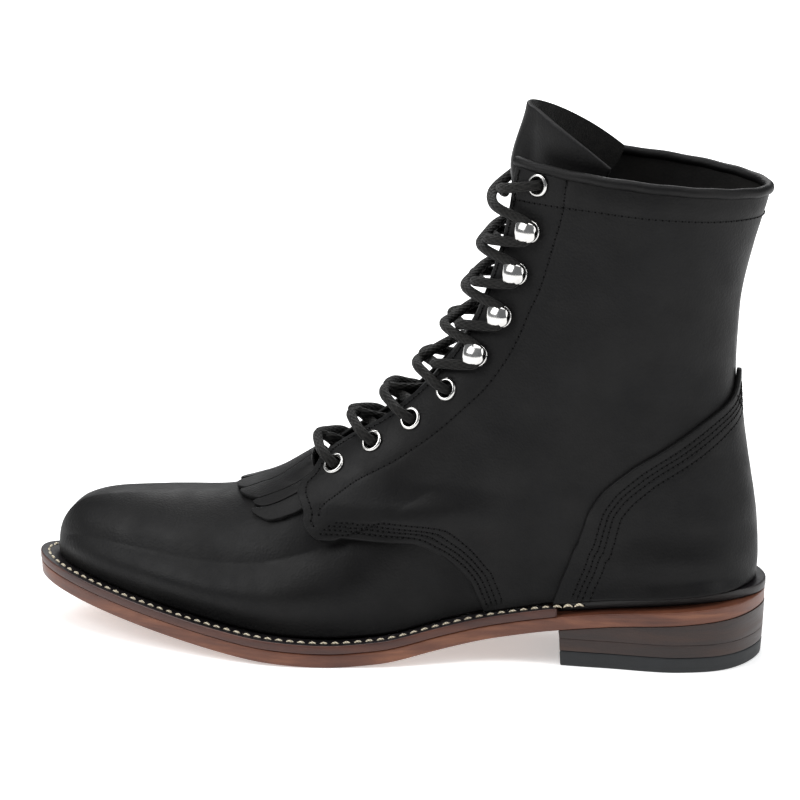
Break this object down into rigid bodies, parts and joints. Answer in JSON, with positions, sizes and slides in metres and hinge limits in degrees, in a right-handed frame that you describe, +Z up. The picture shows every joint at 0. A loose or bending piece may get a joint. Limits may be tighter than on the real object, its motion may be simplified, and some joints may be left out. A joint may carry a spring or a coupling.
{
  "type": "lace-up boot",
  "caption": "Black leather lace-up boot for the left foot, with a fringed flap over the vamp, eyelets and speed hooks, a stitched welt and a low stacked heel.",
  "frame": {"origin": "on the ground, under the middle of the boot's box", "axes": "+X from the toe to the heel, +Y to the inner side of the left foot, +Z up"},
  "size_m": [0.312, 0.107, 0.23],
  "materials": {
    "upper_leather": "satin, fine grain",
    "lining_leather": "matt, rough flesh side",
    "fibreboard": "matt",
    "sole_leather": "satin edge, light reddish brown",
    "welt_leather": "satin edge, dark red-brown, black on top",
    "rand_leather": "satin, dark charcoal",
    "heel_leather": "satin, dark brown",
    "heel_rubber": "matt",
    "cork": "matt",
    "steel": "plain",
    "nickel": "bright nickel",
    "lace_cord": "round braid"
  },
  "bodies": {
    "boot": {"outsole": "sole_leather", "welt": "welt_leather", "heel_rand": "rand_leather", "cork_filler": "cork", "shank": "steel", "insole": "fibreboard", "heel_lift_upper": "heel_leather", "heel_lift_lower": "heel_leather", "heel_cap": "heel_rubber", "heel_nail_1": "steel", "heel_nail_2": "steel", "heel_nail_3": "steel", "heel_nail_4": "steel", "vamp": "upper_leather", "toe_puff": "fibreboard", "vamp_lining": "lining_leather", "quarter_lateral": "upper_leather", "quarter_medial": "upper_leather", "counter_cover": "upper_leather", "heel_counter": "fibreboard", "heel_lining": "lining_leather", "collar_binding": "upper_leather", "facing_stay_lateral": "lining_leather", "facing_stay_medial": "lining_leather", "eyelet_lateral_1": "nickel", "eyelet_lateral_2": "nickel", "eyelet_lateral_3": "nickel", "eyelet_lateral_4": "nickel", "eyelet_lateral_5": "nickel", "eyelet_medial_1": "nickel", "eyelet_medial_2": "nickel", "eyelet_medial_3": "nickel", "eyelet_medial_4": "nickel", "eyelet_medial_5": "nickel", "hook_lateral_1": "nickel", "hook_lateral_2": "nickel", "hook_lateral_3": "nickel", "hook_lateral_4": "nickel", "hook_medial_1": "nickel", "hook_medial_2": "nickel", "hook_medial_3": "nickel", "hook_medial_4": "nickel", "lace": "lace_cord"},
    "tongue_part": {"tongue": "upper_leather"},
    "kiltie_part": {"kiltie_fringe": "upper_leather"}
  },
  "joints": [
    {"name": "tongue_swing", "type": "hinge", "parent": "boot", "child": "tongue_part", "pos_m": [-0.034, 0.003, 0.072], "axis": [0, 1, 0], "range_deg": [0, 10]},
    {"name": "kiltie_lift", "type": "hinge", "parent": "boot", "child": "kiltie_part", "pos_m": [-0.0335, 0.003, 0.077], "axis": [0, 1, 0], "range_deg": [0, 30]}
  ]
}
